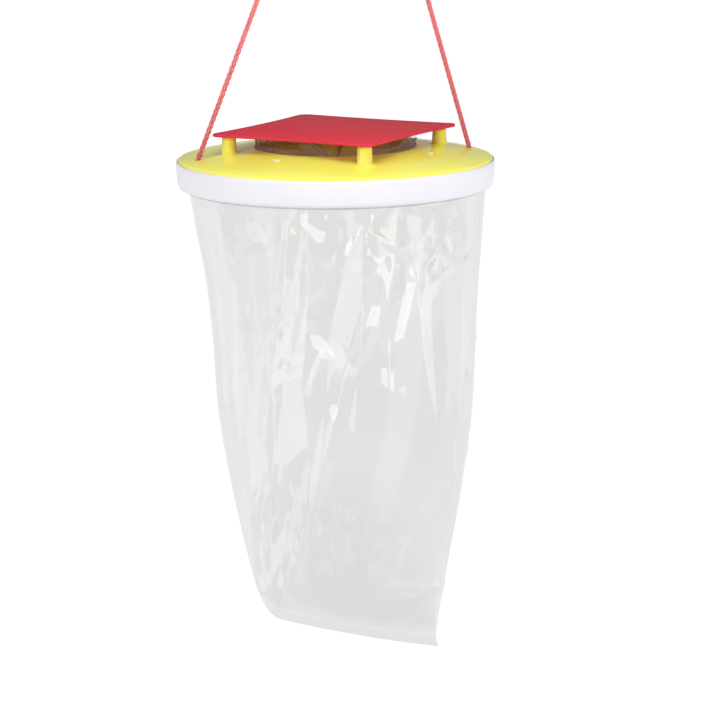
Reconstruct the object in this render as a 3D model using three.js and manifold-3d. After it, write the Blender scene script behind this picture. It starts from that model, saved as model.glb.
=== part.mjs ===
// Hanging wasp trap: a domed lid with a netted entrance under a square rain roof, a clear film bag
// clamped under the lid by a ring, and a cord tied above it. Millimetres, +Z up. The model is laid
// out from the lid's axis and the ring's top edge, then moved so that the hanging point is the origin.
import * as THREE from 'three';
import { mergeVertices } from 'three/addons/utils/BufferGeometryUtils.js';
import Module from 'manifold-3d';

const wasm = await Module();
wasm.setup();

// Driving dimensions
const ringRadius = 100;
const ringHeight = 16.4;
const ringInnerRadius = 95;
const lidEdgeRadius = 98.6;
const lidThickness = 2;
const domeRadius = 507;
const crownHeight = 10.76;
const holeRadius = 51;
const skirtRadius = 93.8;
const skirtWall = 1.6;
const skirtBottom = -14;
const gap = 0.3;
const turn = THREE.MathUtils.degToRad(15.5);
const quarter = Math.PI / 2;
const roundSteps = 72;

const postCircle = 68.2;
const postBaseRadius = 4.9;
const postTopRadius = 4.3;
const roofSide = 110;
const roofCornerReach = 78.4;
const roofCornerRadius = 6;
const roofThickness = 1.7;
const roofBottom = 17.1;
const pegRadius = 1.5;
const pegLength = 4;

const netRadius = 50.6;
const netThickness = 0.8;
const netBandTop = 10.8;
const netFolds = [75, 178, 253, 332].map((degrees) => THREE.MathUtils.degToRad(degrees));
const netPockets = [24, 127, 215, 292].map((degrees) => THREE.MathUtils.degToRad(degrees));
const netFoldSpread = THREE.MathUtils.degToRad(22);
const pocketCircle = 33;
const pocketHoleRadius = 6.5;
const frameInnerRadius = 51;
const frameWall = 1.6;
const frameFlangeRadius = 70;
const frameFlangeThickness = 1.2;
const frameBottom = -9;
const clipCircle = 66;
const clipLength = 2.8;
const clipWidth = 1;
const frontClipSpread = THREE.MathUtils.degToRad(48);
const backClipSpread = THREE.MathUtils.degToRad(28);

const filmThickness = 0.5;
const collarRadius = skirtRadius + gap + filmThickness / 2;
const seamAngle = THREE.MathUtils.degToRad(-32);

const cordRadius = 1.5;
const cordHoleRadius = 2.4;
const cordCircle = 87.8;
const topKnotRadius = 5.6;
const stopperRadius = 3.7;
const stopperDrop = 6.6;
const knotCentre = new THREE.Vector3(14.2, 3.7, 257.5);
const hangPoint = knotCentre.clone().add(new THREE.Vector3(0, 0, -topKnotRadius - gap));

const yellowPlastic = { color: 0xe8d84f, roughness: 0.28, metalness: 0 };
const redPlastic = { color: 0xc63f50, roughness: 0.45, metalness: 0 };
const whitePlastic = { color: 0xf3f2f8, roughness: 0.4, metalness: 0 };
const clearFilm = { color: 0xdde0dc, roughness: 0.15, metalness: 0 };
const blackNet = { color: 0x4a3a30, roughness: 0.7, metalness: 0 };
const redCord = { color: 0xf0564c, roughness: 0.6, metalness: 0 };

// Helpers

function domeHeight(radius) {
  return crownHeight - radius ** 2 / (2 * domeRadius);
}

function around(radius, angle, height) {
  return new THREE.Vector3(radius * Math.cos(angle), radius * Math.sin(angle), height);
}

function toSolid(geometry) {
  const bare = geometry.index ? geometry.clone() : geometry;
  bare.deleteAttribute('normal');
  bare.deleteAttribute('uv');
  const merged = mergeVertices(bare, 1e-4);
  return new wasm.Manifold(new wasm.Mesh({
    numProp: 3,
    vertProperties: new Float32Array(merged.attributes.position.array),
    triVerts: new Uint32Array(merged.index.array),
  }));
}

function toGeometry(solid) {
  const mesh = solid.getMesh();
  const geometry = new THREE.BufferGeometry();
  geometry.setAttribute('position', new THREE.BufferAttribute(new Float32Array(mesh.vertProperties), 3));
  geometry.setIndex(new THREE.BufferAttribute(new Uint32Array(mesh.triVerts), 1));
  geometry.computeVertexNormals();
  return geometry;
}

// A closed profile of [radius, height] pairs, listed anticlockwise, turned round the vertical axis.
function turned(profile, steps = roundSteps) {
  const points = profile.map(([radius, height]) => new THREE.Vector2(radius, height));
  points.push(points[0].clone());
  return new THREE.LatheGeometry(points, steps).rotateX(quarter);
}

function uprightCylinder(topRadius, bottomRadius, bottom, top, at, steps = 24) {
  const geometry = new THREE.CylinderGeometry(topRadius, bottomRadius, top - bottom, steps);
  return geometry.rotateX(quarter).translate(at.x, at.y, (top + bottom) / 2);
}

function slotBlock(length, width, bottom, top, radius, angle) {
  const block = new THREE.BoxGeometry(width, length, top - bottom);
  const at = around(radius, angle, (top + bottom) / 2);
  return block.rotateZ(angle).translate(at.x, at.y, at.z);
}

function tube(points, radius, steps, sides = 8) {
  const section = new THREE.Shape();
  for (let side = 0; side < sides; side += 1) {
    const angle = (side * 2 * Math.PI) / sides;
    const x = radius * Math.cos(angle);
    const y = radius * Math.sin(angle);
    if (side === 0) section.moveTo(x, y);
    else section.lineTo(x, y);
  }
  const extrudePath = new THREE.CatmullRomCurve3(points);
  return new THREE.ExtrudeGeometry(section, { steps, extrudePath, bevelEnabled: false });
}

// Joins rings of points into one skin and closes both ends with a fan. All rings run anticlockwise.
function skin(rings) {
  const count = rings[0].length;
  const positions = [];
  const index = [];
  for (const ring of rings) {
    for (const point of ring) positions.push(point.x, point.y, point.z);
  }
  for (let row = 0; row + 1 < rings.length; row += 1) {
    for (let side = 0; side < count; side += 1) {
      const next = (side + 1) % count;
      const a = row * count + side;
      const b = row * count + next;
      index.push(a, b, b + count, a, b + count, a + count);
    }
  }
  for (const [row, outward] of [[0, false], [rings.length - 1, true]]) {
    const centre = new THREE.Vector3();
    for (const point of rings[row]) centre.addScaledVector(point, 1 / count);
    const hub = positions.length / 3;
    positions.push(centre.x, centre.y, centre.z);
    for (let side = 0; side < count; side += 1) {
      const a = row * count + side;
      const b = row * count + ((side + 1) % count);
      if (outward) index.push(a, b, hub);
      else index.push(b, a, hub);
    }
  }
  const geometry = new THREE.BufferGeometry();
  geometry.setAttribute('position', new THREE.Float32BufferAttribute(positions, 3));
  geometry.setIndex(index);
  geometry.computeVertexNormals();
  return geometry;
}

// Two clips stand either side of the front post, two closer to the back post

const frontPost = turn - quarter;
const backPost = turn + quarter;
const clipAngles = [
  frontPost - frontClipSpread,
  frontPost + frontClipSpread,
  backPost - backClipSpread,
  backPost + backClipSpread,
];

function clipSlot(angle) {
  return toSolid(slotBlock(clipLength + 2 * gap, clipWidth + 2 * gap, 0, 12, clipCircle, angle));
}

// Lid with its posts, cord holes and clip slots

function lidShell() {
  const domeSteps = 5;
  const topRadii = [];
  for (let step = 0; step <= domeSteps; step += 1) {
    topRadii.push(97 + ((holeRadius - 97) * step) / domeSteps);
  }
  const underRadii = [holeRadius, 66, 80, skirtRadius - skirtWall];
  const profile = [
    [skirtRadius - skirtWall, skirtBottom],
    [skirtRadius, skirtBottom],
    [skirtRadius, -1.7],
    [lidEdgeRadius, -1.7],
    [lidEdgeRadius, 0.1],
    [98.3, 0.8],
    [97.7, 1.2],
    ...topRadii.map((radius) => [radius, domeHeight(radius)]),
    ...underRadii.map((radius) => [radius, domeHeight(radius) - lidThickness]),
  ];
  return toSolid(turned(profile));
}

function postSolid(angle) {
  const at = around(postCircle, angle, 0);
  const foot = domeHeight(postCircle) - lidThickness / 2;
  const top = roofBottom - gap;
  const shaft = uprightCylinder(postTopRadius, postBaseRadius, foot, top - 1, at);
  const crown = uprightCylinder(postTopRadius - 0.9, postTopRadius, top - 1.001, top, at);
  const socket = uprightCylinder(pegRadius + gap, pegRadius + gap, top - pegLength - gap, top + 1, at, 16);
  return toSolid(shaft).add(toSolid(crown)).subtract(toSolid(socket));
}

function makeLid() {
  let lid = lidShell();
  for (let corner = 0; corner < 4; corner += 1) {
    lid = lid.add(postSolid(turn + corner * quarter));
  }
  for (const angle of [turn, turn + Math.PI]) {
    const at = around(cordCircle, angle, 0);
    lid = lid.subtract(toSolid(uprightCylinder(cordHoleRadius, cordHoleRadius, -2, 8, at)));
  }
  for (const angle of clipAngles) lid = lid.subtract(clipSlot(angle));
  return toGeometry(lid);
}

// Square roof whose edges bow inward a little, on four pegs that drop into the posts

function roofOutline() {
  const outline = new THREE.Shape();
  const cornerCentre = roofCornerReach - roofCornerRadius;
  const cornerSweep = THREE.MathUtils.degToRad(41);
  for (let corner = 0; corner < 4; corner += 1) {
    const angle = corner * quarter;
    const centre = around(cornerCentre, angle, 0);
    outline.absarc(centre.x, centre.y, roofCornerRadius, angle - cornerSweep, angle + cornerSweep, false);
    const nextAngle = angle + quarter;
    const nextCentre = around(cornerCentre, nextAngle, 0);
    const middle = around(roofSide / 2 - 2.2, angle + quarter / 2, 0);
    const end = around(roofCornerRadius, nextAngle - cornerSweep, 0).add(nextCentre);
    outline.quadraticCurveTo(middle.x, middle.y, end.x, end.y);
  }
  return outline;
}

function makeRoof() {
  const plate = new THREE.ExtrudeGeometry(roofOutline(), {
    depth: roofThickness - 0.8,
    bevelEnabled: true,
    bevelThickness: 0.4,
    bevelSize: 0.4,
    bevelOffset: -0.4,
    bevelSegments: 2,
    curveSegments: 6,
  });
  plate.rotateZ(turn).translate(0, 0, roofBottom + 0.4);
  let roof = toSolid(plate);
  for (let corner = 0; corner < 4; corner += 1) {
    const at = around(postCircle, turn + corner * quarter, 0);
    const peg = uprightCylinder(pegRadius, pegRadius, roofBottom - pegLength, roofBottom + 1, at, 16);
    roof = roof.add(toSolid(peg));
  }
  return toGeometry(roof);
}

// Clamp ring with a rebate for the lid's edge

function makeClampRing() {
  return turned([
    [ringInnerRadius, -ringHeight + 0.6],
    [ringInnerRadius + 0.6, -ringHeight],
    [97.6, -ringHeight],
    [98.5, -15.9],
    [99.2, -13.6],
    [99.7, -8],
    [ringRadius, -2.4],
    [99.9, -0.6],
    [99.5, 0],
    [lidEdgeRadius + gap, -0.2],
    [lidEdgeRadius + gap, -2],
    [ringInnerRadius, -2],
  ], 84);
}

// Film bag: round at the clamp ring, narrowing to a flat weld that stands across the trap

const bagStations = [
  { height: -3, across: collarRadius, deep: collarRadius, shift: 0 },
  { height: -10, across: collarRadius, deep: collarRadius, shift: 0 },
  { height: -16.8, across: collarRadius, deep: collarRadius, shift: 0 },
  { height: -20, across: 93.7, deep: 92.9, shift: 1 },
  { height: -43, across: 91.3, deep: 89, shift: 1.9 },
  { height: -78, across: 88, deep: 82, shift: 3.4 },
  { height: -121, across: 85.8, deep: 77, shift: 4.1 },
  { height: -155, across: 85, deep: 72, shift: 3.9 },
  { height: -200, across: 81.2, deep: 60, shift: 3.7 },
  { height: -235, across: 77.5, deep: 44, shift: 3.3 },
  { height: -262, across: 73.9, deep: 30, shift: 3.1 },
  { height: -285, across: 69.5, deep: 16, shift: 3.6 },
  { height: -301, across: 65.8, deep: 5, shift: 5.4 },
  { height: -309, across: 63, deep: 0.9, shift: 9.4 },
];

function bagRing(station, inset) {
  const ring = [];
  const sides = 40;
  for (let side = 0; side < sides; side += 1) {
    const angle = (side * 2 * Math.PI) / sides;
    const along = (station.across - inset) * Math.cos(angle);
    const out = Math.max(station.deep - inset, 0.25) * Math.sin(angle);
    const x = station.shift + along * Math.cos(seamAngle) - out * Math.sin(seamAngle);
    const y = along * Math.sin(seamAngle) + out * Math.cos(seamAngle);
    ring.push(new THREE.Vector3(x, y, station.height));
  }
  return ring;
}

function makeBag() {
  const outside = bagStations.map((station) => bagRing(station, -filmThickness / 2)).reverse();
  const inside = bagStations.slice(0, -1).map((station) => bagRing(station, filmThickness / 2));
  return skin([...outside, ...inside]);
}

// Netting: a band round the hole that rises into four folds, and a hollow with four pockets inside it

function netFold(angle) {
  let fold = 0;
  for (const middle of netFolds) {
    const off = Math.atan2(Math.sin(angle - middle), Math.cos(angle - middle));
    if (Math.abs(off) < netFoldSpread) fold = Math.cos((off / netFoldSpread) * quarter) ** 2;
  }
  return fold;
}

const netFoldCurve = [[0, -3], [12, 1], [24, 8], [36, 13.4], [44, 15.4], [49.6, 15.2]];
const netPocketCurve = [[0, -3], [12, -6], [24, -9.5], [36, -10.5], [44, -5], [49.6, 5]];

function netHeight(step, angle) {
  const fold = netFold(angle);
  return netPocketCurve[step][1] * (1 - fold) + netFoldCurve[step][1] * fold;
}

function makeNet() {
  const sides = 60;
  const ringAt = (radius, heightAt) => {
    const ring = [];
    for (let side = 0; side < sides; side += 1) {
      const angle = (side * 2 * Math.PI) / sides;
      ring.push(around(radius, angle, heightAt(angle)));
    }
    return ring;
  };
  const last = netFoldCurve.length - 1;
  const bandTop = (angle) => Math.max(netBandTop, netHeight(last, angle) + 0.5);
  const rings = [];
  for (let step = 1; step <= last; step += 1) {
    rings.push(ringAt(netFoldCurve[step][0], (angle) => netHeight(step, angle) - netThickness));
  }
  rings.push(ringAt(netRadius, () => 1));
  rings.push(ringAt(netRadius, (angle) => bandTop(angle) - 0.4));
  rings.push(ringAt(netRadius - netThickness, bandTop));
  for (let step = last; step >= 1; step -= 1) {
    rings.push(ringAt(netFoldCurve[step][0] - 0.3, (angle) => netHeight(step, angle)));
  }
  let net = toSolid(skin(rings));
  for (const angle of netPockets) {
    const at = around(pocketCircle, angle, 0);
    net = net.subtract(toSolid(uprightCylinder(pocketHoleRadius, pocketHoleRadius, -20, 4, at)));
  }
  return toGeometry(net);
}

// Frame under the lid that the netting is fixed to

function makeNetFrame() {
  const under = (radius) => domeHeight(radius) - lidThickness - gap;
  let frame = toSolid(turned([
    [frameInnerRadius, frameBottom],
    [frameInnerRadius + frameWall, frameBottom],
    [frameInnerRadius + frameWall, under(frameInnerRadius + frameWall) - frameFlangeThickness],
    [frameFlangeRadius, under(frameFlangeRadius) - frameFlangeThickness],
    [frameFlangeRadius, under(frameFlangeRadius)],
    [60, under(60)],
    [frameInnerRadius, under(frameInnerRadius)],
  ]));
  for (const angle of clipAngles) frame = frame.subtract(clipSlot(angle));
  return toGeometry(frame);
}

function makeNetClip(angle) {
  const headTop = domeHeight(clipCircle) + 0.7;
  const headBottom = headTop - 0.4;
  const barbTop = domeHeight(clipCircle) - lidThickness - frameFlangeThickness - 0.8;
  const barbBottom = barbTop - 0.6;
  const stem = slotBlock(clipLength, clipWidth, barbTop - 0.1, headBottom + 0.1, clipCircle, angle);
  const head = slotBlock(clipLength + 1, clipWidth + 0.8, headBottom, headTop, clipCircle, angle);
  const barb = slotBlock(clipLength + 1, clipWidth + 0.8, barbBottom, barbTop, clipCircle, angle);
  return toGeometry(toSolid(stem).add(toSolid(head)).add(toSolid(barb)));
}

// Cord legs from the top knot to the stopper knots under the lid

function cordRoute(angle) {
  const hole = around(cordCircle, angle, domeHeight(cordCircle));
  const stopper = hole.clone().add(new THREE.Vector3(0, 0, -stopperDrop));
  const bend = hole.clone().add(new THREE.Vector3(0, 0, 0.8));
  const along = knotCentre.clone().sub(bend).normalize();
  return [
    stopper.clone().add(new THREE.Vector3(0, 0, stopperRadius + gap)),
    hole.clone().add(new THREE.Vector3(0, 0, -1)),
    bend,
    bend.clone().addScaledVector(along, 4),
    bend.clone().lerp(knotCentre, 0.35),
    bend.clone().lerp(knotCentre, 0.7),
    knotCentre.clone().addScaledVector(along, -topKnotRadius - gap),
  ];
}

function makeCord(angle) {
  return tube(cordRoute(angle), cordRadius, 44);
}

function ball(radius, centre) {
  const form = new THREE.SphereGeometry(radius, 14, 9).rotateX(quarter);
  return toSolid(form.translate(centre.x, centre.y, centre.z));
}

function makeStopper(angle) {
  const hole = around(cordCircle, angle, domeHeight(cordCircle));
  const centre = hole.clone().add(new THREE.Vector3(0, 0, -stopperDrop));
  const tail = tube([
    centre,
    centre.clone().add(new THREE.Vector3(0, 0, -4)),
    centre.clone().add(new THREE.Vector3(0.5, 0.5, -8.5)),
  ], cordRadius, 6);
  return toGeometry(ball(stopperRadius, centre).add(toSolid(tail)));
}

function makeTopKnot() {
  let knot = ball(topKnotRadius, knotCentre);
  for (const side of [-1, 1]) {
    const tail = tube([
      knotCentre,
      knotCentre.clone().add(new THREE.Vector3(side * 6, side * 1.5, 4)),
      knotCentre.clone().add(new THREE.Vector3(side * 14, side * 3, 7.5)),
      knotCentre.clone().add(new THREE.Vector3(side * 23, side * 4, 6)),
    ], cordRadius, 14);
    knot = knot.add(toSolid(tail));
  }
  return toGeometry(knot);
}

// Assembly

const trap = new THREE.Group();

function addPart(name, geometry, look) {
  const mesh = new THREE.Mesh(geometry, new THREE.MeshStandardMaterial(look));
  mesh.name = name;
  trap.add(mesh);
}

addPart('lid', makeLid(), yellowPlastic);
addPart('roof', makeRoof(), redPlastic);
addPart('clamp_ring', makeClampRing(), whitePlastic);
addPart('bag', makeBag(), clearFilm);
addPart('net', makeNet(), blackNet);
addPart('net_frame', makeNetFrame(), yellowPlastic);
for (const [order, angle] of clipAngles.entries()) {
  addPart(`net_clip_${order + 1}`, makeNetClip(angle), whitePlastic);
}
addPart('cord_right', makeCord(turn), redCord);
addPart('cord_left', makeCord(turn + Math.PI), redCord);
addPart('right_knot', makeStopper(turn), redCord);
addPart('left_knot', makeStopper(turn + Math.PI), redCord);
addPart('hanging_knot', makeTopKnot(), redCord);

trap.position.copy(hangPoint).negate();
export default trap;
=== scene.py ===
"""Looks of the hanging wasp trap: film bag, netting, braided cords, lid, roof, ring and studio."""
import math

import bmesh
import bpy
import numpy as np
from mathutils import Matrix, Vector


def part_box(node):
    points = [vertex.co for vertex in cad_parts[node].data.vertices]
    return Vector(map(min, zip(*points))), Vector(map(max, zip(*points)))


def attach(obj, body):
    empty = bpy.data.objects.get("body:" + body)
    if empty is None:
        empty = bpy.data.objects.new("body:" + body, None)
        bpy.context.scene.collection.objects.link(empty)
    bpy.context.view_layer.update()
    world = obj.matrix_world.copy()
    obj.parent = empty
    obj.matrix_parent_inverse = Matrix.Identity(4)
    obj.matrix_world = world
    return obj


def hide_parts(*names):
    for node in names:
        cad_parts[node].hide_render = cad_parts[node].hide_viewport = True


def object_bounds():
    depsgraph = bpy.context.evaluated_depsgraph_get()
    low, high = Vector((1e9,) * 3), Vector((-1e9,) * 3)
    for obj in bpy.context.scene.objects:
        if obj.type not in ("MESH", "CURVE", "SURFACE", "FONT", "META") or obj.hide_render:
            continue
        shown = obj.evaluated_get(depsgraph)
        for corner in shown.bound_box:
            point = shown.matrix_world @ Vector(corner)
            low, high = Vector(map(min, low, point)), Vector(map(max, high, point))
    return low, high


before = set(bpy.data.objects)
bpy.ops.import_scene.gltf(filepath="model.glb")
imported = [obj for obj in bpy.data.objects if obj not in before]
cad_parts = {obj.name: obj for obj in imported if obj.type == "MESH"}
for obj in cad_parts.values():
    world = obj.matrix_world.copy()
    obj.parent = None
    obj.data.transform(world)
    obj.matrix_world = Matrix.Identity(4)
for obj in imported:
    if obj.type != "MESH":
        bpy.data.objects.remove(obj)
CAD_LOW, CAD_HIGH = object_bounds()
MM = 0.001

# Places worked out from the frame. The frame's origin is the hanging point.
RING_LOW, RING_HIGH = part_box("clamp_ring")
LID_AXIS = Vector(((RING_LOW.x + RING_HIGH.x) / 2, (RING_LOW.y + RING_HIGH.y) / 2, RING_HIGH.z))
# How far the two cord holes are turned about the lid's axis from the viewer's right and left
TURN = math.radians(15.5)
QUARTER = math.pi / 2


def at_lid(x, y, z):
    """A point given in millimetres from the lid's axis and the ring's top edge."""
    return LID_AXIS + Vector((x, y, z)) * MM


# Camera

SENSOR_WIDTH = 36
LENS = 150
CAMERA_PLACE = Vector((0.0001, -1.8717, 0.0064))
CAMERA_PITCH = math.radians(11.71)
CAMERA_ROLL = math.radians(0.5)
SIGHT = 100


def make_camera():
    """A long lens level with the hanging point, looking down at the trap."""
    data = bpy.data.cameras.new("camera")
    data.sensor_width = SENSOR_WIDTH
    data.lens = LENS
    data.clip_end = SIGHT
    camera = bpy.data.objects.new("camera", data)
    bpy.context.collection.objects.link(camera)
    forward = Vector((0, math.cos(CAMERA_PITCH), -math.sin(CAMERA_PITCH)))
    level_up = Vector((0, math.sin(CAMERA_PITCH), math.cos(CAMERA_PITCH)))
    right = Vector((math.cos(CAMERA_ROLL), 0, 0)) - level_up * math.sin(CAMERA_ROLL)
    up = right.cross(forward)
    turn = Matrix((right, up, -forward)).transposed().to_4x4()
    camera.matrix_world = Matrix.Translation(CAMERA_PLACE) @ turn
    bpy.context.scene.camera = camera


make_camera()

# Mesh helpers

CURVE_STEPS = 24
ANY_WAY = (0.3, 0.9, 0.31)


def mesh_object(name, points, faces, smooth=True):
    """A new object in the scene from its points and faces."""
    mesh = bpy.data.meshes.new(name)
    mesh.from_pydata([tuple(p) for p in points], [], faces)
    mesh.validate()
    mesh.polygons.foreach_set("use_smooth", [smooth] * len(mesh.polygons))
    mesh.update()
    obj = bpy.data.objects.new(name, mesh)
    bpy.context.collection.objects.link(obj)
    return obj


def grid_faces(rows, columns):
    """Quads between rows of points, each row a closed ring of so many columns."""
    faces = []
    for low in range(0, (rows - 1) * columns, columns):
        high = low + columns
        for column in range(columns):
            beyond = (column + 1) % columns
            faces.append((low + column, low + beyond, high + beyond, high + column))
    return faces


def distance_along(line):
    """The distance of each point from the line's start, measured along the line."""
    steps = np.linalg.norm(np.diff(line, axis=0), axis=1)
    return np.concatenate(([0], np.cumsum(steps)))


def smooth_path(points, step):
    """A centripetal Catmull-Rom curve through the points, resampled about every step."""
    pts = [np.array(p, float) for p in points]
    pts = [2 * pts[0] - pts[1]] + pts + [2 * pts[-1] - pts[-2]]
    out = []
    for i in range(1, len(pts) - 2):
        p0, p1, p2, p3 = pts[i - 1 : i + 3]
        t1 = np.linalg.norm(p1 - p0) ** 0.5
        t2 = t1 + np.linalg.norm(p2 - p1) ** 0.5
        t3 = t2 + np.linalg.norm(p3 - p2) ** 0.5
        for t in np.linspace(t1, t2, CURVE_STEPS, endpoint=False):
            a1 = (t1 - t) / t1 * p0 + t / t1 * p1
            a2 = (t2 - t) / (t2 - t1) * p1 + (t - t1) / (t2 - t1) * p2
            a3 = (t3 - t) / (t3 - t2) * p2 + (t - t2) / (t3 - t2) * p3
            b1 = (t2 - t) / t2 * a1 + t / t2 * a2
            b2 = (t3 - t) / (t3 - t1) * a2 + (t - t1) / (t3 - t1) * a3
            out.append((t2 - t) / (t2 - t1) * b1 + (t - t1) / (t2 - t1) * b2)
    out.append(pts[-2])
    line = np.array(out)
    along = distance_along(line)
    count = max(2, int(round(along[-1] / step)) + 1)
    even = np.linspace(0, along[-1], count)
    return np.stack([np.interp(even, along, line[:, k]) for k in range(3)], axis=1)


def carried_frames(line):
    """Tangent, side and up vectors along a line, carried without twist."""
    tangent = np.gradient(line, axis=0)
    tangent /= np.linalg.norm(tangent, axis=1)[:, None]
    side = np.zeros_like(line)
    first = np.cross(tangent[0], ANY_WAY)
    side[0] = first / np.linalg.norm(first)
    for i in range(1, len(line)):
        carried = side[i - 1] - tangent[i] * np.dot(side[i - 1], tangent[i])
        side[i] = carried / np.linalg.norm(carried)
    return tangent, side, np.cross(tangent, side)


def tube(line, side, up, wide, thick, corners):
    """Points and faces of a closed tube along a line, with an oval section of so many corners."""
    angles = [2 * math.pi * k / corners for k in range(corners)]
    rings = [line + side * (wide * math.cos(a)) + up * (thick * math.sin(a)) for a in angles]
    points = np.stack(rings, axis=1).reshape(-1, 3)
    faces = grid_faces(len(line), corners)
    last = (len(line) - 1) * corners
    faces.append(tuple(reversed(range(corners))))
    faces.append(tuple(last + k for k in range(corners)))
    return points, faces


def merged(shapes):
    """One list of points and one of faces, from several pairs of points and faces."""
    all_points, all_faces = [], []
    for points, faces in shapes:
        first = len(all_points)
        all_points += [tuple(p) for p in points]
        all_faces += [tuple(first + i for i in face) for face in faces]
    return all_points, all_faces


def two_toned(name, points, faces, shades):
    """An object with two material slots, still empty, and the slot of each face."""
    obj = mesh_object(name, points, faces)
    for _ in range(2):
        obj.data.materials.append(None)
    obj.data.polygons.foreach_set("material_index", shades)
    return obj


# Braided cord: red strands wind one way and narrower pale ones the other way, round a red core. The pale
# strands are painted highlights: their colour stands in for the glints where the braid's strands cross.

CORD_DIAMETER = 3 * MM
BRAID_STRANDS = 6
BRAID_PITCH = 12 * MM
BRAID_STEP = 0.7 * MM
STRAND_CORNERS = 5
CORE_CORNERS = 8
STRAND_THICKNESS = 0.15 * CORD_DIAMETER
BRAID_MIDDLE = CORD_DIAMETER / 2 - 0.9 * STRAND_THICKNESS
RED_BREADTH = 0.72 * math.pi * BRAID_MIDDLE / BRAID_STRANDS
GLINT_STRAND_BREADTH = 0.45 * RED_BREADTH
WEAVE_LIFT = 0.8 * STRAND_THICKNESS


def braid_strand(line, along, side, up, number, way, breadth):
    """One strand, which winds the given way and passes over and under those that wind the other way."""
    angle = way * 2 * math.pi * along / BRAID_PITCH + 2 * math.pi * number / BRAID_STRANDS
    phase = BRAID_STRANDS * 2 * math.pi * along / BRAID_PITCH
    lift = way * WEAVE_LIFT * np.sin(phase + math.pi * number)
    out = side * np.cos(angle)[:, None] + up * np.sin(angle)[:, None]
    centre = line + out * (BRAID_MIDDLE + lift)[:, None]
    run = np.gradient(centre, axis=0)
    run /= np.linalg.norm(run, axis=1)[:, None]
    return tube(centre, np.cross(run, out), out, breadth, STRAND_THICKNESS, STRAND_CORNERS)


def braided(name, route):
    """A round braid along a route, and the line that it follows."""
    line = smooth_path(route, BRAID_STEP)
    along = distance_along(line)
    _, side, up = carried_frames(line)
    core = BRAID_MIDDLE - STRAND_THICKNESS / 2
    shapes = [tube(line, side, up, core, core, CORE_CORNERS)]
    for way, breadth in ((1, RED_BREADTH), (-1, GLINT_STRAND_BREADTH)):
        for number in range(BRAID_STRANDS):
            shapes.append(braid_strand(line, along, side, up, number, way, breadth))
    points, faces = merged(shapes)
    pale = sum(len(shape[1]) for shape in shapes[-BRAID_STRANDS:])
    return two_toned(name, points, faces, [0] * (len(faces) - pale) + [1] * pale), line


# Cords first: their routes are the CAD's own, in millimetres from the lid's axis

CORD_CIRCLE = 87.8
DOME_RADIUS = 507
CROWN_HEIGHT = 10.76
TOP_KNOT = Vector((14.2, 3.7, 257.5))
TOP_KNOT_RADIUS = 5.6
TOP_KNOT_TURN = 0.25
TOP_KNOT_TAIL = [(0, 0, 0), (6, 1.5, 4), (14, 3, 7.5), (23, 4, 6)]
STOPPER_DROP = 6.6
STOPPER_TAIL = [(0, 0, 0), (0, 0, -4), (0.5, 0.5, -8.5)]
KNOT_STEPS = 18


def dome_height(radius):
    """Height of the lid's dome at a distance from its axis."""
    return CROWN_HEIGHT - radius**2 / (2 * DOME_RADIUS)


def cord_hole(angle):
    """The middle of a cord hole, on the lid's dome."""
    x, y = CORD_CIRCLE * math.cos(angle), CORD_CIRCLE * math.sin(angle)
    return Vector((x, y, dome_height(CORD_CIRCLE)))


def cord_route(angle):
    """Points from inside the lid, up through a cord hole and straight to the top knot."""
    hole = cord_hole(angle)
    bend = hole + Vector((0, 0, 0.8))
    along = (TOP_KNOT - bend).normalized()
    points = [
        hole + Vector((0, 0, -STOPPER_DROP + 3)),
        hole + Vector((0, 0, -1)),
        bend,
        bend + along * 4,
        bend.lerp(TOP_KNOT, 0.35),
        bend.lerp(TOP_KNOT, 0.7),
        TOP_KNOT - along * (TOP_KNOT_RADIUS - 2),
    ]
    return [at_lid(*p) for p in points]


def knot_loop(centre, size, lift, spin):
    """A tight three-lobed knot of cord about a centre; size and lift in millimetres."""
    points = []
    for k in range(KNOT_STEPS + 1):
        t = 2 * math.pi * k / KNOT_STEPS
        x = math.sin(t) + 2 * math.sin(2 * t)
        y = math.cos(t) - 2 * math.cos(2 * t)
        z = -math.sin(3 * t)
        point = Vector((x * size, z * lift, y * size)) * MM
        point.rotate(Matrix.Rotation(spin, 3, "Z"))
        points.append(centre + point)
    return points


def joined(name, cords):
    """One object made of several braided ones, which it replaces."""
    shapes, shades = [], []
    for cord in cords:
        mesh = cord.data
        shapes.append(([v.co.copy() for v in mesh.vertices], [tuple(p.vertices) for p in mesh.polygons]))
        shades += [p.material_index for p in mesh.polygons]
        bpy.data.objects.remove(cord)
    points, faces = merged(shapes)
    return two_toned(name, points, faces, shades)


def make_top_knot():
    """The knot that the trap hangs from, with a loose cord end to each side."""
    centre = at_lid(*TOP_KNOT)
    cords = [braided("knot_body", knot_loop(centre, 1.45, 1.9, TOP_KNOT_TURN))[0]]
    for side in (-1, 1):
        route = [centre + Vector((side * x, side * y, z)) * MM for x, y, z in TOP_KNOT_TAIL]
        cords.append(braided("knot_tail", route)[0])
    return joined("top_knot", cords)


def make_stopper(name, angle):
    """The knot under a cord hole, which keeps the cord from slipping out."""
    centre = at_lid(*(cord_hole(angle) - Vector((0, 0, STOPPER_DROP))))
    loop, _ = braided("stopper_loop", knot_loop(centre, 0.82, 1.3, angle))
    tail, _ = braided("stopper_tail", [centre + Vector(step) * MM for step in STOPPER_TAIL])
    return joined(name, [loop, tail])


def make_cords():
    """The top knot, then each leg of the cord with its stopper knot."""
    knot = make_top_knot()
    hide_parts("hanging_knot")
    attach(knot, "hanger")
    pieces = [knot]
    for side, angle in (("right", TURN), ("left", TURN + math.pi)):
        cord, line = braided(f"{side}_cord", cord_route(angle))
        stopper = make_stopper(f"{side}_stopper", angle)
        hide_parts(f"cord_{side}")
        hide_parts(f"{side}_knot")
        for piece in (cord, stopper):
            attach(piece, "hanger")
            pieces.append(piece)
    return pieces


cord_pieces = make_cords()

# Film bag. The weld at its foot runs from one side to the other, at an angle to the viewer.

SEAM_ANGLE = math.radians(-32)
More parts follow.
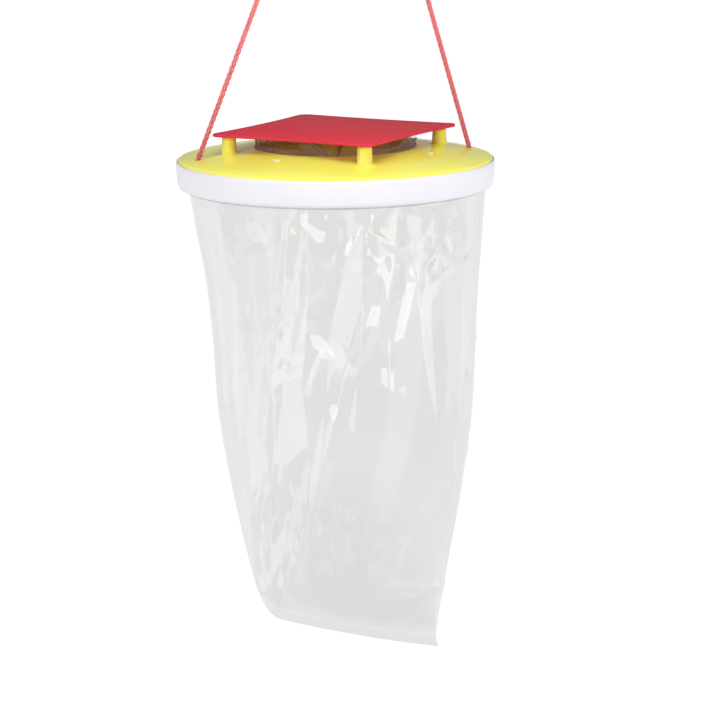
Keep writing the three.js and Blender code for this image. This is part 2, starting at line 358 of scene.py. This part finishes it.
# Height, half width along the weld, half depth across it, shift to the right
BAG_STATIONS = np.array([
    (-3, 94.35, 94.35, 0),
    (-10, 94.35, 94.35, 0),
    (-15, 94.35, 94.35, 0),
    (-16.8, 94.35, 94.35, 0),
    (-20, 93.7, 92.9, 1),
    (-43, 91.3, 89, 1.9),
    (-78, 88, 82, 3.4),
    (-121, 85.8, 77, 4.1),
    (-155, 85, 72, 3.9),
    (-200, 81.2, 60, 3.7),
    (-235, 77.5, 44, 3.3),
    (-262, 73.9, 30, 3.1),
    (-285, 69.5, 16, 3.6),
    (-301, 65.8, 3, 5.4),
    (-309, 63, 0.4, 9.4),
])
BAG_TOP, BAG_BOTTOM = BAG_STATIONS[0, 0], BAG_STATIONS[-1, 0]
BAG_COLUMNS, BAG_ROWS = 600, 340
LEAST_HALF_DEPTH = 0.4
MEAN_RADIUS = 85
CLAMP_DEPTH = 17
WELD_DEPTH = 6
WELD_SAG = 1.7
CORNER_LIFT, CORNER_FROM = 2, 0.96
SAG_REACH = 40
# The film's edge, folded over outside so that it shows under the ring: radius and height
HEM = [(95.2, -16.8), (95.25, -17.7), (94.9, -16.7), (94.8, -15), (94.75, -6), (94.65, -3.2), (94.5, -2.8)]
# Folds and crumples: cells round the bag, height of a cell, push of a fold, seed of the draws
FOLDS, FOLD_DEPTH, FOLD_PUSH, FOLD_SEED = 26, 62, 1.2, 5
CRUMPLE_CELLS, CRUMPLE_DEPTH, CRUMPLE_SEED = 84, 8, 3
BORDER_WANDER = 0.32
LEAST_CRUMPLE = 0.02
SIDE_FLATTENING = 0.75
CREASE_FADE = 0.12
# Distances below the clamp and above the weld over which the film comes loose
CLAMP_EASE = (1, 9)
WELD_EASE = (0, 7)


def smooth_step(low, high, value):
    """0 up to low, 1 from high on, and a smooth rise between them."""
    t = np.clip((value - low) / (high - low), 0, 1)
    return t * t * (3 - 2 * t)


def steady_slopes(values, places):
    """Slopes at the stations: the harmonic mean of both sides, or 0 where the curve turns."""
    steps = np.diff(values) / np.diff(places)
    before, after = steps[:-1], steps[1:]
    same_way = before * after > 0
    both = np.where(same_way, before + after, 1)
    middle = np.where(same_way, 2 * before * after / both, 0)
    return np.concatenate((steps[:1], middle, steps[-1:]))


def bag_section(height):
    """Half width, half depth and shift of the bag at a height, on a curve that never overshoots."""
    heights = BAG_STATIONS[::-1, 0]
    k = int(np.clip(np.searchsorted(heights, height) - 1, 0, len(heights) - 2))
    span = heights[k + 1] - heights[k]
    t = (height - heights[k]) / span
    start, leave = 2 * t**3 - 3 * t**2 + 1, t**3 - 2 * t**2 + t
    end, arrive = -2 * t**3 + 3 * t**2, t**3 - t**2
    values = []
    for column in (1, 2, 3):
        row = BAG_STATIONS[::-1, column]
        slope = steady_slopes(row, heights)
        bend = leave * span * slope[k] + arrive * span * slope[k + 1]
        values.append(start * row[k] + end * row[k + 1] + bend)
    return values


def cage(around, depth, cells, cell_depth, seed):
    """Finds each point's cell in a loose net of straight creases. around runs from 0 to 1.

    Gives the cell's borders to the left and right as shares of the way round, how far across and
    down the cell the point is, and the four random corner values.
    """
    draw = np.random.RandomState(seed)
    rows = int((BAG_TOP - BAG_BOTTOM) / cell_depth) + 5
    shift = draw.uniform(-BORDER_WANDER, BORDER_WANDER, (rows, cells))
    value = draw.uniform(-1, 1, (rows, cells))
    turn = 2 * math.pi * around
    wave = 0.3 * np.sin(5 * turn + seed) + 0.2 * np.sin(11 * turn + 2 * seed)
    v = depth / cell_depth + 1.5 + wave
    top = np.floor(v).astype(int)
    down = v - top

    def border(k):
        here = shift[top, k % cells] * (1 - down) + shift[top + 1, k % cells] * down
        return (k + here) / cells

    left = np.floor(around * cells).astype(int)
    left = left - (border(left) > around) + (border(left + 1) <= around)
    low, high = border(left), border(left + 1)
    here, beyond = left % cells, (left + 1) % cells
    corners = value[top, here], value[top, beyond], value[top + 1, here], value[top + 1, beyond]
    return low, high, (around - low) / (high - low), down, corners


def facets(around, depth, cells, cell_depth, seed):
    """Flat random facets with straight creases between them, from -1 to 1."""
    _, _, fu, fv, (c00, c10, c01, c11) = cage(around, depth, cells, cell_depth, seed)
    near = c00 + fu * (c10 - c00) + fv * (c01 - c00)
    far = c11 + (1 - fu) * (c01 - c11) + (1 - fv) * (c10 - c11)
    leaning = np.where(fu + fv < 1, near, far)
    over = c00 + fu * (c10 - c00) + fv * (c11 - c10)
    under = c00 + fv * (c01 - c00) + fu * (c11 - c01)
    rising = np.where(fu > fv, over, under)
    return np.where(c00 * c11 > c10 * c01, leaning, rising)


def flattened(around, depth):
    """Cosine and sine of the angle from the weld, taken along the straight chord of each long fold."""
    low, high, share, _, _ = cage(around, depth, FOLDS, FOLD_DEPTH, FOLD_SEED)
    low, high = (2 * math.pi * border - SEAM_ANGLE - QUARTER for border in (low, high))
    return ((1 - share) * np.cos(low) + share * np.cos(high),
            (1 - share) * np.sin(low) + share * np.sin(high))


# Patches of small crumples: degrees to the right of the front, height, reach each way, strength
CRUMPLES = [
    (22, -40, 20, 17, 1.0), (42, -52, 14, 26, 0.8), (80, -75, 12, 40, 0.5),
    (78, -200, 14, 70, 0.4), (24, -268, 30, 14, 1.0), (-20, -26, 9, 12, 0.6),
    (-64, -140, 12, 30, 0.25), (150, -60, 40, 30, 0.7), (-140, -120, 30, 50, 0.5),
    (180, -250, 50, 25, 0.8),
]
# Single creases: from (degrees, height) to (degrees, height), half width and push outward in millimetres
CREASES = [
    ((68, -52), (42, -69), 2.6, 0.9), ((8, -29), (-7, -88), 4, 0.8),
    ((67, -24), (74, -93), 4, 1.0), ((13, -33), (31, -51), 5, 1.0),
    ((45, -43), (41, -63), 5, 0.8), ((34, -60), (45, -43), 4, -0.8),
    ((21, -52), (12, -97), 8, 1.2), ((32, -57), (23, -105), 7, 0.9),
    ((-19, -28), (-20, -71), 5, 1.0), ((-58, -25), (-60, -51), 4, 0.7),
    ((-24, -20), (-13, -19), 5, 0.7), ((-16, -63), (-14, -71), 3, 0.6),
    ((-38, -142), (-60, -247), 9, 1.6), ((-27, -140), (-40, -245), 9, 1.6),
    ((-8, -150), (-14, -267), 10, 1.8), ((19, -120), (16, -229), 10, 1.6),
    ((19, -232), (4, -264), 9, 1.2), ((4, -266), (70, -268), 3.5, 0.9),
    ((-20, -284), (38, -270), 6, 1.3), ((-2, -286), (0, -296), 2.5, 0.8),
    ((-66, -276), (-25, -282), 7, 1.1), ((66, -125), (60, -160), 4, 0.8),
    ((84, -110), (62, -136), 3, 0.7), ((150, -30), (170, -150), 9, 1.5),
    ((200, -40), (215, -190), 10, 1.6), ((175, -150), (190, -280), 9, 1.5),
    ((240, -60), (236, -220), 10, 1.3),
]


def signed_gap(degrees, middle):
    """Degrees from a middle direction, from -180 to 180."""
    return (degrees - middle + 180) % 360 - 180


def crumple_share(degrees, height):
    """How crumpled the film is at each point."""
    share = np.full_like(degrees, LEAST_CRUMPLE)
    for middle, level, reach, tall, strength in CRUMPLES:
        away = (signed_gap(degrees, middle) / reach) ** 2 + ((height - level) / tall) ** 2
        share = np.maximum(share, strength * np.exp(-away))
    return share


def crease_push(degrees, height):
    """Tent-shaped ridges along straight lines on the film."""
    total = np.zeros_like(degrees)
    mm_per_degree = math.radians(1) * MEAN_RADIUS
    for (a0, h0), (a1, h1), half_width, push in CREASES:
        x = signed_gap(degrees, a0) * mm_per_degree
        run_x, run_y = (a1 - a0) * mm_per_degree, h1 - h0
        length = math.hypot(run_x, run_y)
        along = (x * run_x + (height - h0) * run_y) / length**2
        off = np.abs(x * run_y - (height - h0) * run_x) / length
        near_start = smooth_step(-CREASE_FADE, CREASE_FADE, along)
        near_end = smooth_step(-CREASE_FADE, CREASE_FADE, 1 - along)
        total += push * np.clip(1 - off / half_width, 0, 1) * near_start * near_end
    return total


def free_share(height):
    """How loose the film is: nothing at the clamp and the weld, all of it between them."""
    below_clamp = smooth_step(*CLAMP_EASE, -CLAMP_DEPTH - height)
    above_weld = smooth_step(*WELD_EASE, height - BAG_BOTTOM - WELD_DEPTH)
    return below_clamp * above_weld


def fold_share(degrees):
    """How deep the folds are: shallower at the two sides, where the weld pulls the film straight."""
    return 1 - SIDE_FLATTENING * np.sin(np.radians(degrees)) ** 6


def film_push(degrees, height):
    """Outward push of the film in millimetres: long folds, crumples and single creases."""
    around = (degrees % 360) / 360
    depth = BAG_TOP - height
    folds = FOLD_PUSH * facets(around, depth, FOLDS, FOLD_DEPTH, FOLD_SEED)
    small = facets(around, depth, CRUMPLE_CELLS, CRUMPLE_DEPTH, CRUMPLE_SEED)
    push = fold_share(degrees) * folds + crumple_share(degrees, height) * small
    return free_share(height) * (push + crease_push(degrees, height))


def weld_line(share):
    """Height of the bag's lower edge against its straight line: a sag, and a rounded left corner."""
    corner = np.clip((-share - CORNER_FROM) / (1 - CORNER_FROM), 0, 1)
    return CORNER_LIFT * corner**2 - WELD_SAG * (1 - share**2)


def bag_row(angle, height):
    """One row of points round the bag at a height, in millimetres."""
    across, deep, shift = bag_section(height)
    deep = max(deep, LEAST_HALF_DEPTH)
    degrees = np.degrees(angle + SEAM_ANGLE) + 90
    push = film_push(degrees, np.full(BAG_COLUMNS, height))
    chord_cos, chord_sin = flattened((degrees % 360) / 360, BAG_TOP - height)
    flat = free_share(height) * fold_share(degrees)
    along = across * (np.cos(angle) * (1 - flat) + chord_cos * flat) + push * np.cos(angle)
    out = deep * (np.sin(angle) * (1 - flat) + chord_sin * flat) + push * np.sin(angle)
    x = shift + along * math.cos(SEAM_ANGLE) - out * math.sin(SEAM_ANGLE)
    y = along * math.sin(SEAM_ANGLE) + out * math.cos(SEAM_ANGLE)
    low = smooth_step(0, SAG_REACH, BAG_BOTTOM + SAG_REACH - height)
    return np.stack([x, y, height + low * weld_line(np.cos(angle))], axis=1)


def bag_points():
    """Rows of points: the hem folded back outside, then the bag from its clamped edge to its weld."""
    angle = 2 * math.pi * np.arange(BAG_COLUMNS) / BAG_COLUMNS
    x, y = np.cos(angle + SEAM_ANGLE), np.sin(angle + SEAM_ANGLE)
    rows = [np.stack([radius * x, radius * y, np.full(BAG_COLUMNS, height)], axis=1)
            for radius, height in HEM]
    rows += [bag_row(angle, height) for height in np.linspace(BAG_TOP, BAG_BOTTOM, BAG_ROWS)]
    return np.concatenate(rows)


def weld_faces(last):
    """Faces that close the bag's foot, from its last row's front to its back."""
    faces = []
    for k in range(BAG_COLUMNS // 2):
        ahead = (last + k, last + k + 1)
        behind = (last + BAG_COLUMNS - k - 1, last + (BAG_COLUMNS - k) % BAG_COLUMNS)
        faces.append(tuple(dict.fromkeys(ahead + behind)))
    return faces


def make_bag():
    """The film bag: one surface, open at the top, from its hem under the ring down to its weld."""
    row_count = BAG_ROWS + len(HEM)
    faces = grid_faces(row_count, BAG_COLUMNS) + weld_faces((row_count - 1) * BAG_COLUMNS)
    bag = mesh_object("film_bag", [at_lid(*p) for p in bag_points()], faces)
    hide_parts("bag")
    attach(bag, "bag_unit")
    return bag


bag = make_bag()

# Netting: a web over the lid's hole, raised in folds and sunk in pockets, and an upright band round it

NET_RADIUS = 49.9
NET_BAND_FOOT, NET_BAND_TOP = 2.5, 10.8
NET_FOLDS = [math.radians(degrees) for degrees in (75, 178, 253, 332)]
NET_POCKETS = [math.radians(degrees) for degrees in (24, 127, 215, 292)]
NET_FOLD_SPREAD = math.radians(22)
# Radius and height along the middle of a fold and of a pocket
FOLD_CURVE = np.array([(0, -3), (12, 1), (24, 8), (36, 13.4), (44, 15.4), (49.6, 15.2)])
POCKET_CURVE = np.array([(0, -3), (12, -6), (24, -9.5), (36, -10.5), (44, -5), (49.6, 5)])
POCKET_CIRCLE = 33
POCKET_HOLE = 6.5
MESH_PITCH = 1.9
BAND_PITCH = 2.9
THREAD_RADIUS = 0.18
THREAD_CORNERS = 4
CROSSING_GAP = 0.12
BAND_CROSSING_GAP = 0.15
BAND_STEPS = 27
HEM_STEPS = 300
HEM_RISE = 0.3
SHORTEST_RUN = 4
# Loose ends: how many, first angle and step in degrees, highest point, seed of the random draws
FRAY_COUNT, FRAY_FROM, FRAY_STEP, FRAY_TOP, FRAY_SEED = 26, -14, 2.1, 14, 4


def net_fold(angle):
    """How far the netting rises into a fold at an angle: 1 along a fold's middle, 0 between folds."""
    fold = np.zeros_like(angle)
    for middle in NET_FOLDS:
        off = np.abs(np.arctan2(np.sin(angle - middle), np.cos(angle - middle))) / NET_FOLD_SPREAD
        fold = np.where(off < 1, np.cos(off * QUARTER) ** 2, fold)
    return fold


def net_height(x, y):
    """Height of the web over a point."""
    radius = np.hypot(x, y)
    fold = net_fold(np.arctan2(y, x))
    low = np.interp(radius, POCKET_CURVE[:, 0], POCKET_CURVE[:, 1])
    high = np.interp(radius, FOLD_CURVE[:, 0], FOLD_CURVE[:, 1])
    return low * (1 - fold) + high * fold


def band_top(angle):
    """Height of the band's upper edge, which rises over each fold."""
    rim = FOLD_CURVE[-1, 1]
    low = POCKET_CURVE[-1, 1]
    fold = net_fold(angle)
    return np.maximum(NET_BAND_TOP, low * (1 - fold) + rim * fold + HEM_RISE)


def round_points(radius, angle, height):
    """Points at a radius, an angle and a height."""
    return np.stack([radius * np.cos(angle), radius * np.sin(angle), height], axis=1)


def in_pocket_hole(x, y):
    """Whether a point lies over the hole in the bottom of a pocket."""
    inside = np.zeros(np.shape(x), bool)
    for angle in NET_POCKETS:
        dx = x - POCKET_CIRCLE * math.cos(angle)
        dy = y - POCKET_CIRCLE * math.sin(angle)
        inside |= np.hypot(dx, dy) < POCKET_HOLE
    return inside


def kept_runs(points, keep):
    """Splits a line of points into its unbroken kept stretches, and leaves out very short ones."""
    runs, start = [], None
    for i in range(len(points) + 1):
        if i < len(points) and keep[i]:
            start = i if start is None else start
        elif start is not None:
            if i - start >= SHORTEST_RUN:
                runs.append(points[start:i])
            start = None
    return runs


def net_strands():
    """Runs of points along the web's two slanting families of threads."""
    runs = []
    along = np.arange(-NET_RADIUS, NET_RADIUS, MESH_PITCH / 2)
    for way in (1, -1):
        dx, dy = math.cos(way * QUARTER / 2), math.sin(way * QUARTER / 2)
        for line in np.arange(-NET_RADIUS, NET_RADIUS, MESH_PITCH):
            x = dx * along - dy * line
            y = dy * along + dx * line
            keep = (np.hypot(x, y) < NET_RADIUS) & ~in_pocket_hole(x, y)
            points = np.stack([x, y, net_height(x, y) + CROSSING_GAP * way], axis=1)
            runs += kept_runs(points, keep)
    return runs


def net_band():
    """Threads of the upright band round the hole, slanting both ways up to its wavy top."""
    runs = []
    count = int(2 * math.pi * NET_RADIUS / BAND_PITCH)
    height = np.linspace(NET_BAND_FOOT, FOLD_CURVE[:, 1].max(), BAND_STEPS)
    for way in (1, -1):
        for k in range(count):
            angle = 2 * math.pi * k / count + way * (height - NET_BAND_FOOT) / NET_RADIUS
            points = round_points(NET_RADIUS + BAND_CROSSING_GAP * way, angle, height)
            runs += kept_runs(points, height <= band_top(angle))
    return runs


def net_hem():
    """A slightly wavy edge thread along the band's top."""
    turn = np.linspace(0, 2 * math.pi, HEM_STEPS)
    radius = NET_RADIUS + 0.1 * np.sin(40 * turn)
    height = band_top(turn) + 0.2 * np.sin(23 * turn)
    return [round_points(radius, turn, height)]


def frayed_ends():
    """Loose thread ends where the netting was cut, at the right of the band."""
    draw = np.random.RandomState(FRAY_SEED)
    t = np.linspace(0, 1, 7)
    runs = []
    for k in range(FRAY_COUNT):
        angle = math.radians(FRAY_FROM + FRAY_STEP * k + draw.uniform(-1, 1))
        rise, reach, lean = draw.uniform(0.8, 3.2), draw.uniform(-1, 2.4), draw.uniform(-0.05, 0.05)
        height = np.minimum(NET_BAND_TOP - 1 + rise * t, FRAY_TOP)
        runs.append(round_points(NET_RADIUS + reach * t**2, angle + lean * t, height))
    return runs


def threads(runs):
    """Points and faces of a thin thread along each run of points."""
    shapes = []
    for run in runs:
        _, side, up = carried_frames(run)
        shapes.append(tube(run, side, up, THREAD_RADIUS, THREAD_RADIUS, THREAD_CORNERS))
    return merged(shapes)


def make_net():
    """The netting: the web's threads take the second material slot, whose golden brown is painted warm
    shade from the yellow lid, those of its edges the first.
    """
    web = threads(net_strands())
    edges = threads(net_band() + net_hem() + frayed_ends())
    points, faces = merged([web, edges])
    shades = [1] * len(web[1]) + [0] * len(edges[1])
    net = two_toned("netting", [at_lid(*p) for p in points], faces, shades)
    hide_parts("net")
    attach(net, "trap")
    return net


net = make_net()

# Moulded parts: the CAD parts' own shapes, shaded smooth across their shallow edges

SHARP_EDGE = math.radians(32)
WELD_DISTANCE = 0.001 * MM
# Node: its body and its slot
MOULDED = {
    "lid": ("trap", "lid_yellow"),
    "net_frame": ("trap", "lid_yellow"),
    "roof": ("roof", "roof_red"),
    "clamp_ring": ("bag_unit", "ring_white"),
}


def smooth_shell(name, body):
    """A copy of a CAD part's mesh with smooth shading between its sharp edges."""
    form = bmesh.new()
    form.from_mesh(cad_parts[name].data)
    bmesh.ops.remove_doubles(form, verts=form.verts, dist=WELD_DISTANCE)
    mesh = bpy.data.meshes.new(f"{name}_shell")
    form.to_mesh(mesh)
    form.free()
    mesh.materials.clear()
    mesh.polygons.foreach_set("use_smooth", [True] * len(mesh.polygons))
    mesh.set_sharp_from_angle(angle=SHARP_EDGE)
    shell = bpy.data.objects.new(f"{name}_shell", mesh)
    bpy.context.collection.objects.link(shell)
    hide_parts(name)
    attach(shell, body)
    return shell


moulded = {name: smooth_shell(name, body) for name, (body, slot) in MOULDED.items()}

# Materials. Sizes of bumps are in metres, scales are repeats to the metre.

PLASTIC_INDEX = 1.49
FILM_INDEX = 2.6
BUMP_DEPTH = 0.0004


def new_material(name):
    """A material, its nodes, its links and its shader."""
    material = bpy.data.materials.new(name)
    material.use_nodes = True
    nodes = material.node_tree.nodes
    return material, nodes, material.node_tree.links, nodes["Principled BSDF"]


def add_bump(nodes, links, shader, scale, strength, distance, detail=4):
    """Fine unevenness of the surface. Gives back the place node that it reads."""
    place = nodes.new("ShaderNodeTexCoord")
    texture = nodes.new("ShaderNodeTexNoise")
    texture.inputs["Scale"].default_value = scale
    texture.inputs["Detail"].default_value = detail
    bump = nodes.new("ShaderNodeBump")
    bump.inputs["Strength"].default_value = strength
    bump.inputs["Distance"].default_value = distance
    links.new(place.outputs["Object"], texture.inputs["Vector"])
    links.new(texture.outputs["Fac"], bump.inputs["Height"])
    links.new(bump.outputs["Normal"], shader.inputs["Normal"])
    return place


def add_colour_drift(nodes, links, shader, place, low, high, scale):
    """A base colour that drifts between two near colours over the surface."""
    texture = nodes.new("ShaderNodeTexNoise")
    texture.inputs["Scale"].default_value = scale
    texture.inputs["Detail"].default_value = 3
    ramp = nodes.new("ShaderNodeValToRGB")
    for stop, position, colour in zip(ramp.color_ramp.elements, (0.35, 0.65), (low, high)):
        stop.position = position
        stop.color = (*colour, 1)
    links.new(place.outputs["Object"], texture.inputs["Vector"])
    links.new(texture.outputs["Fac"], ramp.inputs["Fac"])
    links.new(ramp.outputs["Color"], shader.inputs["Base Color"])


def plastic(name, low, high, roughness, specular=0.5, bump_scale=900, bump_strength=0.05):
    """Opaque plastic, moulded or spun, whose colour drifts from low to high."""
    material, nodes, links, shader = new_material(name)
    shader.inputs["Roughness"].default_value = roughness
    shader.inputs["IOR"].default_value = PLASTIC_INDEX
    shader.inputs["Specular IOR Level"].default_value = specular
    place = add_bump(nodes, links, shader, bump_scale, bump_strength, BUMP_DEPTH)
    add_colour_drift(nodes, links, shader, place, low, high, 9)
    return material


def film_material():
    """Clear film: mostly see-through, and shiny enough to mirror the softboxes."""
    material, nodes, links, shader = new_material("clear_film")
    shader.inputs["Roughness"].default_value = 0.025
    shader.inputs["IOR"].default_value = FILM_INDEX
    shader.inputs["Specular IOR Level"].default_value = 0.95
    shader.inputs["Alpha"].default_value = 0.25
    place = add_bump(nodes, links, shader, 45, 0.02, 0.001, 2)
    add_colour_drift(nodes, links, shader, place, (0.05, 0.065, 0.035), (0.05, 0.06, 0.08), 6)
    return material


def dress(piece, material):
    """Gives a piece one material."""
    piece.data.materials.clear()
    piece.data.materials.append(material)


def dress_moulded():
    """The four moulded parts and the clips."""
    yellow = plastic("yellow_plastic", (0.82, 0.79, 0.105), (0.85, 0.82, 0.115), 0.2)
    red = plastic("red_plastic", (0.53, 0.026, 0.044), (0.57, 0.031, 0.052), 0.75, 0.2, 500, 0.15)
    white = plastic("white_plastic", (0.63, 0.616, 0.662), (0.65, 0.636, 0.682), 0.35, 0.4)
    cream = plastic("cream_plastic", (0.80, 0.79, 0.70), (0.84, 0.83, 0.74), 0.4)
    # The net frame is the lid's yellow plastic, painted darker orange-brown for the shade it stands in
    # under the lid.
    yellow_in_painted_shade = plastic("yellow_plastic_painted_shade", (0.46, 0.27, 0.015), (0.50, 0.30, 0.02), 0.4)
    dress(moulded["lid"], yellow)
    dress(moulded["net_frame"], yellow_in_painted_shade)
    dress(moulded["roof"], red)
    dress(moulded["clamp_ring"], white)
    for k in range(4):
        dress(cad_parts[f"net_clip_{k + 1}"], cream)


def dress_soft():
    """The netting, the film bag and the cords."""
    dark = plastic("dark_thread", (0.19, 0.165, 0.15), (0.36, 0.33, 0.31), 0.35)
    # The web's threads are painted golden brown for the warm shade they lie in under the lid; the edge
    # threads keep the thread's own colour.
    warm_shade_thread = plastic("thread_painted_warm_shade", (0.24, 0.11, 0.008), (0.38, 0.18, 0.015), 0.35)
    red = plastic("red_cord", (0.53, 0.045, 0.05), (0.61, 0.08, 0.085), 0.35, 0.6, 3000, 0.15)
    # The pale strands' colour is a painted highlight: the glints where the braid's strands cross.
    pale = plastic("pale_cord_painted_glint", (0.68, 0.38, 0.38), (0.74, 0.47, 0.46), 0.4, 0.6, 3000, 0.15)
    net.data.materials[0] = dark
    net.data.materials[1] = warm_shade_thread
    dress(bag, film_material())
    for piece in cord_pieces:
        piece.data.materials[0] = red
        piece.data.materials[1] = pale


dress_moulded()
dress_soft()

# Studio. Sizes are in metres.

HORIZON_GREY = 0.42
ZENITH_GREY = 0.24
FLOOR_GLOW = 0.82
PAINTED_SHADOW_GLOW = 0.08
PAINTED_SHADOW_RADIUS = 1.2
FLOOR_DROP = 0.55
FLOOR_REACH = 60
WALL_GLOW = 1
WALL_REACH, WALL_HEIGHT, WALL_SIDES = 58, 80, 48
PAPER_WHITE = (0.8, 0.8, 0.8, 1)
WHITE = (1, 1, 1, 1)
FLOOR_PLACE = Vector((LID_AXIS.x, LID_AXIS.y, CAD_LOW.z - FLOOR_DROP))


def make_floor():
    """A pale floor far below the trap. It glows, but only faintly right under the trap, which paints a
    soft shadow there and sends less light up from below.
    """
    corners = [(x * FLOOR_REACH, y * FLOOR_REACH, 0) for x, y in ((-1, -1), (1, -1), (1, 1), (-1, 1))]
    floor = mesh_object("floor", corners, [(0, 1, 2, 3)], False)
    floor.location = FLOOR_PLACE
    material, nodes, links, shader = new_material("pale_floor")
    shader.inputs["Base Color"].default_value = PAPER_WHITE
    shader.inputs["Roughness"].default_value = 0.9
    shader.inputs["Specular IOR Level"].default_value = 0
    shader.inputs["Emission Color"].default_value = WHITE
    place = nodes.new("ShaderNodeTexCoord")
    reach_out = nodes.new("ShaderNodeVectorMath")
    reach_out.operation = "LENGTH"
    # The glow dims towards the middle: a painted soft shadow under the trap.
    glow = nodes.new("ShaderNodeMapRange")
    glow.interpolation_type = "SMOOTHSTEP"
    glow.inputs["From Max"].default_value = PAINTED_SHADOW_RADIUS
    glow.inputs["To Min"].default_value = PAINTED_SHADOW_GLOW
    glow.inputs["To Max"].default_value = FLOOR_GLOW
    links.new(place.outputs["Object"], reach_out.inputs[0])
    links.new(reach_out.outputs["Value"], glow.inputs["Value"])
    links.new(glow.outputs["Result"], shader.inputs["Emission Strength"])
    dress(floor, material)


def make_backdrop():
    """A far white wall all round the floor. Only the camera sees it, so it lights nothing."""
    turns = [2 * math.pi * k / WALL_SIDES for k in range(WALL_SIDES)]
    points = [(WALL_REACH * math.cos(a), WALL_REACH * math.sin(a), z)
              for z in (-1, WALL_HEIGHT) for a in turns]
    wall = mesh_object("backdrop", points, grid_faces(2, WALL_SIDES))
    wall.location = FLOOR_PLACE
    material, _, _, shader = new_material("white_wall")
    shader.inputs["Base Color"].default_value = PAPER_WHITE
    shader.inputs["Emission Color"].default_value = WHITE
    shader.inputs["Emission Strength"].default_value = WALL_GLOW
    wall.visible_diffuse = False
    wall.visible_glossy = False
    wall.visible_shadow = False
    dress(wall, material)


BAG_MIDDLE = at_lid(0, 0, -90)
LID_MIDDLE = at_lid(0, 0, 0)
BOX_DISTANCE = 1.3
SIDE_BOX_HEIGHT = 1.2
SIDE_BOX_RISE = 5
# Softboxes round the trap: degrees to the right of the viewer, width, radiance
SIDE_BOXES = [
    (-122, 0.62, 0.35), (-66, 0.5, 0.7), (-16, 0.5, 1.65),
    (29, 0.58, 1.65), (77, 0.5, 0.95), (124, 0.6, 0.45),
]


def area_light(name, place, target, size, radiance, mirrored):
    """A rectangle of light that faces its target; the camera sees past it, and so may reflections."""
    data = bpy.data.lights.new(name, "AREA")
    data.shape = "RECTANGLE"
    data.size, data.size_y = size
    data.energy = radiance * math.pi * size[0] * size[1]
    light = bpy.data.objects.new(name, data)
    bpy.context.collection.objects.link(light)
    light.visible_camera = False
    light.visible_glossy = mirrored
    light.location = place
    light.rotation_euler = (target - place).to_track_quat("-Z", "Y").to_euler()


def soft_box(name, azimuth, elevation, distance, target, size, radiance, mirrored=True):
    """A softbox in a direction from its target, in degrees: to the right of the viewer, and up."""
    turn, rise = math.radians(azimuth), math.radians(elevation)
    away = Vector((math.sin(turn) * math.cos(rise), -math.cos(turn) * math.cos(rise), math.sin(rise)))
    area_light(name, target + away * distance, target, size, radiance, mirrored)


def make_world():
    """A grey room, a little darker overhead."""
    world = bpy.data.worlds.new("studio")
    bpy.context.scene.world = world
    world.use_nodes = True
    nodes, links = world.node_tree.nodes, world.node_tree.links
    place = nodes.new("ShaderNodeTexCoord")
    parts = nodes.new("ShaderNodeSeparateXYZ")
    climb = nodes.new("ShaderNodeMapRange")
    climb.inputs["From Max"].default_value = 1
    climb.inputs["To Min"].default_value = HORIZON_GREY
    climb.inputs["To Max"].default_value = ZENITH_GREY
    links.new(place.outputs["Generated"], parts.inputs["Vector"])
    links.new(parts.outputs["Z"], climb.inputs["Value"])
    links.new(climb.outputs["Result"], nodes["Background"].inputs["Strength"])
    nodes["Background"].inputs["Color"].default_value = WHITE


def make_lights():
    """Softboxes that the film mirrors, and three that light the trap but show in no reflection."""
    for k, (azimuth, width, radiance) in enumerate(SIDE_BOXES):
        size = (width, SIDE_BOX_HEIGHT)
        soft_box(f"side_box_{k + 1}", azimuth, SIDE_BOX_RISE, BOX_DISTANCE, BAG_MIDDLE, size, radiance)
    soft_box("back_box", 180, 8, BOX_DISTANCE, LID_MIDDLE, (1.6, 0.8), 1.2, mirrored=False)
    soft_box("front_box", -14, 44, BOX_DISTANCE, BAG_MIDDLE, (0.5, 0.5), 1.1)
    soft_box("key_box", 3, 60, 0.26, LID_MIDDLE, (0.26, 0.14), 3.35)
    for side, azimuth in (("left", -50), ("right", 50)):
        soft_box(f"lid_box_{side}", azimuth, 22, 0.55, LID_MIDDLE, (0.3, 0.08), 9.0, mirrored=False)


bpy.context.scene.view_settings.view_transform = "Standard"
make_world()
make_floor()
make_backdrop()
make_lights()
